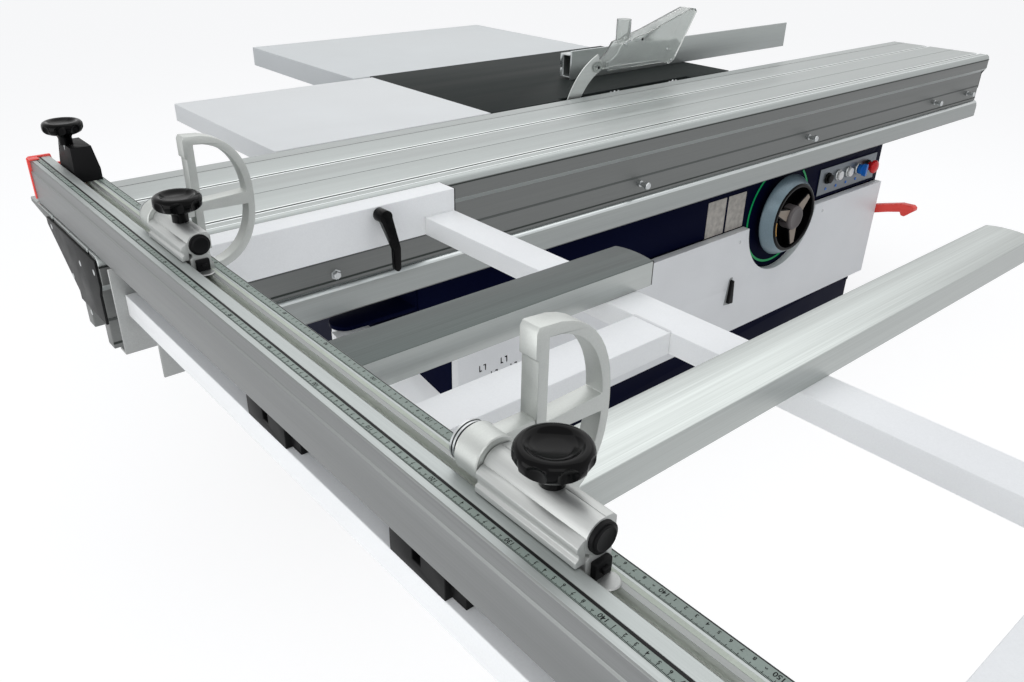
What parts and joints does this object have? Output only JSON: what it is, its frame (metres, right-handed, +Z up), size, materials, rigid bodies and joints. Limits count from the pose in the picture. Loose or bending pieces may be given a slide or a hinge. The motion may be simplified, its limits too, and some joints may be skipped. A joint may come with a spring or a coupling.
{
  "type": "sliding table saw",
  "caption": "Sliding table panel saw with a long aluminium carriage, outrigger frame, cross-cut fence with flip stops, rip fence, tilting saw unit and swinging support arm.",
  "frame": {"origin": "on the floor under the blade's axis, in the blade's plane", "axes": "+X to the infeed end where the operator stands, +Y from the outrigger to the rip fence side, +Z up"},
  "size_m": [3.2, 2.977, 1.079],
  "materials": {
    "navy": "glossy navy powder coat on sheet steel",
    "light_panel": "satin light grey powder coat",
    "white_coat": "white powder coat, slight orange peel",
    "anodised": "silver anodised extrusion",
    "fence_grey": "grey anodised extrusion",
    "brushed_slat": "brushed aluminium, lightly scratched",
    "iron": "ground cast iron",
    "cast_alloy": "bead-blasted cast aluminium",
    "steel": "ground steel",
    "black_plastic": "moulded black phenolic",
    "matte_black": "matt black moulded plastic",
    "hood_plastic": "translucent light grey polycarbonate",
    "red_plastic": "red moulded plastic",
    "blue_plastic": "blue moulded plastic",
    "white_plastic": "white moulded plastic",
    "rubber": "black rubber",
    "motor_paint": "grey-blue machine enamel"
  },
  "bodies": {
    "cabinet": {"plinth": "navy", "cabinet_shell": "navy", "dust_spigot": "steel", "support_beam": "navy", "control_panel": "light_panel", "tilt_cradles": "iron", "iron_table": "iron", "outfeed_table": "white_coat", "ripside_table": "white_coat", "table_braces": "navy", "base_rail": "anodised", "rip_rail": "steel", "arm_bracket": "navy"},
    "flap": {"service_flap": "light_panel"},
    "latch": {"flap_latch": "matte_black"},
    "tilt_wheel": {"handwheel": "black_plastic"},
    "height_wheel": {"rise_wheel": "black_plastic"},
    "lock_lever": {"red_lever": "red_plastic"},
    "stop_button": {"estop": "red_plastic"},
    "mode_selector": {"selector": "blue_plastic"},
    "button_a": {"button_1": "white_plastic"},
    "button_b": {"button_2": "white_plastic"},
    "button_c": {"button_3": "matte_black"},
    "roller_carriage": {"middle_carriage": "steel"},
    "carriage": {"carriage_profile": "anodised", "carriage_ends": "matte_black"},
    "outrigger": {"tube_a": "white_coat", "side_tubes": "white_coat", "cross_tubes": "white_coat", "slat_1": "brushed_slat", "slat_2": "brushed_slat", "end_caps": "matte_black", "outrigger_fittings": "matte_black"},
    "frame_clamp": {"clamp_lever": "black_plastic"},
    "fence": {"fence_profile": "fence_grey", "pivot_block": "matte_black"},
    "fence_knob": {"pivot_knob": "black_plastic"},
    "stop_1": {"stop_body_1": "cast_alloy"},
    "arm_1": {"stop_arm_1": "cast_alloy"},
    "knob_1": {"stop_knob_1": "black_plastic"},
    "stop_2": {"stop_body_2": "cast_alloy"},
    "arm_2": {"stop_arm_2": "cast_alloy"},
    "knob_2": {"stop_knob_2": "black_plastic"},
    "support_arm": {"swing_arm": "white_coat"},
    "telescope": {"inner_arm": "steel"},
    "support_roller": {"arm_roller": "rubber"},
    "tilt_unit": {"tilt_frame": "iron"},
    "rise_unit": {"arbor_housing": "iron", "motor": "motor_paint", "drive_belt": "rubber", "riving_knife": "steel"},
    "arbor_group": {"arbor": "steel", "saw_blade": "steel"},
    "motor_rotor": {"motor_pulley": "steel"},
    "scoring_group": {"scoring_unit": "iron"},
    "scoring_rotor": {"scoring_blade": "steel"},
    "guard": {"guard_hood": "hood_plastic"},
    "rip_head": {"rip_carrier": "iron"},
    "rip_profile": {"rip_fence": "anodised"},
    "rip_clamp": {"rip_lever": "black_plastic"}
  },
  "joints": [
    {"name": "roller_slide", "type": "slide", "parent": "cabinet", "child": "roller_carriage", "axis": [1, 0, 0], "range_m": [-0.8, 0.8]},
    {"name": "table_slide", "type": "slide", "parent": "roller_carriage", "child": "carriage", "axis": [1, 0, 0], "range_m": [-0.8, 0.8]},
    {"name": "outrigger_slide", "type": "slide", "parent": "carriage", "child": "outrigger", "axis": [1, 0, 0], "range_m": [0, 2.4]},
    {"name": "frame_clamp_turn", "type": "hinge", "parent": "outrigger", "child": "frame_clamp", "pos_m": [-1.108, -0.46, 0.853], "axis": [0, 1, 0], "range_deg": [-90, 0]},
    {"name": "fence_mitre", "type": "hinge", "parent": "outrigger", "child": "fence", "pos_m": [-1.541, -0.158, 0.872], "axis": [0, 0, 1], "range_deg": [-45, 45]},
    {"name": "fence_knob_turn", "type": "hinge", "parent": "fence", "child": "fence_knob", "pos_m": [-1.541, -0.158, 1], "axis": [0, 0, 1], "range_deg": [-180, 180]},
    {"name": "stop_1_slide", "type": "slide", "parent": "fence", "child": "stop_1", "axis": [0, 1, 0], "range_m": [-0.25, 0.3]},
    {"name": "stop_1_flip", "type": "hinge", "parent": "stop_1", "child": "arm_1", "pos_m": [-1.531, -0.569, 0.9703], "axis": [0, -1, 0], "range_deg": [0, 90]},
    {"name": "stop_1_knob_turn", "type": "hinge", "parent": "stop_1", "child": "knob_1", "pos_m": [-1.531, -0.635, 1.0003], "axis": [0, 0, 1], "range_deg": [-180, 180]},
    {"name": "stop_2_slide", "type": "slide", "parent": "fence", "child": "stop_2", "axis": [0, 1, 0], "range_m": [-0.27, 0.31]},
    {"name": "stop_2_flip", "type": "hinge", "parent": "stop_2", "child": "arm_2", "pos_m": [-1.531, -1.307, 0.9703], "axis": [0, -1, 0], "range_deg": [0, 90]},
    {"name": "stop_2_knob_turn", "type": "hinge", "parent": "stop_2", "child": "knob_2", "pos_m": [-1.531, -1.373, 1.0003], "axis": [0, 0, 1], "range_deg": [-180, 180]},
    {"name": "arm_swing", "type": "hinge", "parent": "cabinet", "child": "support_arm", "pos_m": [-1.108, -0.29, 0.535], "axis": [0, 0, 1], "range_deg": [-44, 53]},
    {"name": "arm_telescope", "type": "slide", "parent": "support_arm", "child": "telescope", "axis": [-0.1392, -0.9903, 0], "range_m": [0, 0.87]},
    {"name": "roller_spin", "type": "hinge", "parent": "telescope", "child": "support_roller", "pos_m": [-1.30187, -1.66944, 0.7577], "axis": [0.9903, -0.1392, 0], "continuous": true},
    {"name": "flap_hinge", "type": "hinge", "parent": "cabinet", "child": "flap", "pos_m": [0.0885, -0.341, 0.147], "axis": [1, 0, 0], "range_deg": [0, 90]},
    {"name": "latch_turn", "type": "hinge", "parent": "flap", "child": "latch", "pos_m": [0.192, -0.3605, 0.3], "axis": [0, 1, 0], "range_deg": [0, 90]},
    {"name": "tilt_wheel_turn", "type": "hinge", "parent": "cabinet", "child": "tilt_wheel", "pos_m": [0.435, -0.336, 0.49], "axis": [0, 1, 0], "range_deg": [-20, 1820]},
    {"name": "height_wheel_turn", "type": "hinge", "parent": "cabinet", "child": "height_wheel", "pos_m": [1.04, 0.15, 0.42], "axis": [1, 0, 0], "range_deg": [-60, 930]},
    {"name": "lever_turn", "type": "hinge", "parent": "cabinet", "child": "lock_lever", "pos_m": [1.056, -0.284, 0.372], "axis": [1, 0, 0], "range_deg": [-20, 35]},
    {"name": "stop_press", "type": "slide", "parent": "cabinet", "child": "stop_button", "axis": [0, 1, 0], "range_m": [0, 0.006], "stiffness_N_per_m": 800},
    {"name": "selector_turn", "type": "hinge", "parent": "cabinet", "child": "mode_selector", "pos_m": [0.891, -0.339, 0.553], "axis": [0, 1, 0], "range_deg": [0, 90]},
    {"name": "button_a_press", "type": "slide", "parent": "cabinet", "child": "button_a", "axis": [0, 1, 0], "range_m": [0, 0.005], "stiffness_N_per_m": 500},
    {"name": "button_b_press", "type": "slide", "parent": "cabinet", "child": "button_b", "axis": [0, 1, 0], "range_m": [0, 0.005], "stiffness_N_per_m": 500},
    {"name": "button_c_press", "type": "slide", "parent": "cabinet", "child": "button_c", "axis": [0, 1, 0], "range_m": [0, 0.005], "stiffness_N_per_m": 500},
    {"name": "saw_tilt", "type": "hinge", "parent": "cabinet", "child": "tilt_unit", "pos_m": [0, 0, 0.87], "axis": [-1, 0, 0], "range_deg": [0, 45]},
    {"name": "saw_rise", "type": "slide", "parent": "tilt_unit", "child": "rise_unit", "axis": [0, 0, 1], "range_m": [0, 0.06]},
    {"name": "arbor_spin", "type": "hinge", "parent": "rise_unit", "child": "arbor_group", "pos_m": [0, 0.05, 0.7425], "axis": [0, 1, 0], "continuous": true},
    {"name": "motor_spin", "type": "hinge", "parent": "rise_unit", "child": "motor_rotor", "pos_m": [-0.17, 0.17, 0.6305], "axis": [0, 1, 0], "continuous": true},
    {"name": "scoring_rise", "type": "slide", "parent": "tilt_unit", "child": "scoring_group", "axis": [0, 0, 1], "range_m": [-0.008, 0.004]},
    {"name": "scoring_spin", "type": "hinge", "parent": "scoring_group", "child": "scoring_rotor", "pos_m": [0.262, 0.05, 0.809], "axis": [0, 1, 0], "continuous": true},
    {"name": "guard_lift", "type": "hinge", "parent": "rise_unit", "child": "guard", "pos_m": [-0.087, 0, 0.943], "axis": [0, -1, 0], "range_deg": [0, 30]},
    {"name": "rip_slide", "type": "slide", "parent": "cabinet", "child": "rip_head", "axis": [0, 1, 0], "range_m": [-0.05, 0.92]},
    {"name": "rip_profile_slide", "type": "slide", "parent": "rip_head", "child": "rip_profile", "axis": [1, 0, 0], "range_m": [-0.4, 0.02]},
    {"name": "rip_clamp_turn", "type": "hinge", "parent": "rip_head", "child": "rip_clamp", "pos_m": [0.4903, 0.3243, 0.9103], "axis": [0, 1, 0], "range_deg": [-40, 20]}
  ],
  "couplings": [
    {"joint": "table_slide", "follows": "roller_slide", "ratio": 1},
    {"joint": "tilt_wheel_turn", "follows": "saw_tilt", "ratio": 40},
    {"joint": "height_wheel_turn", "follows": "saw_rise", "rad_per_m": 251.33},
    {"joint": "motor_spin", "follows": "arbor_spin", "ratio": 0.66667}
  ]
}
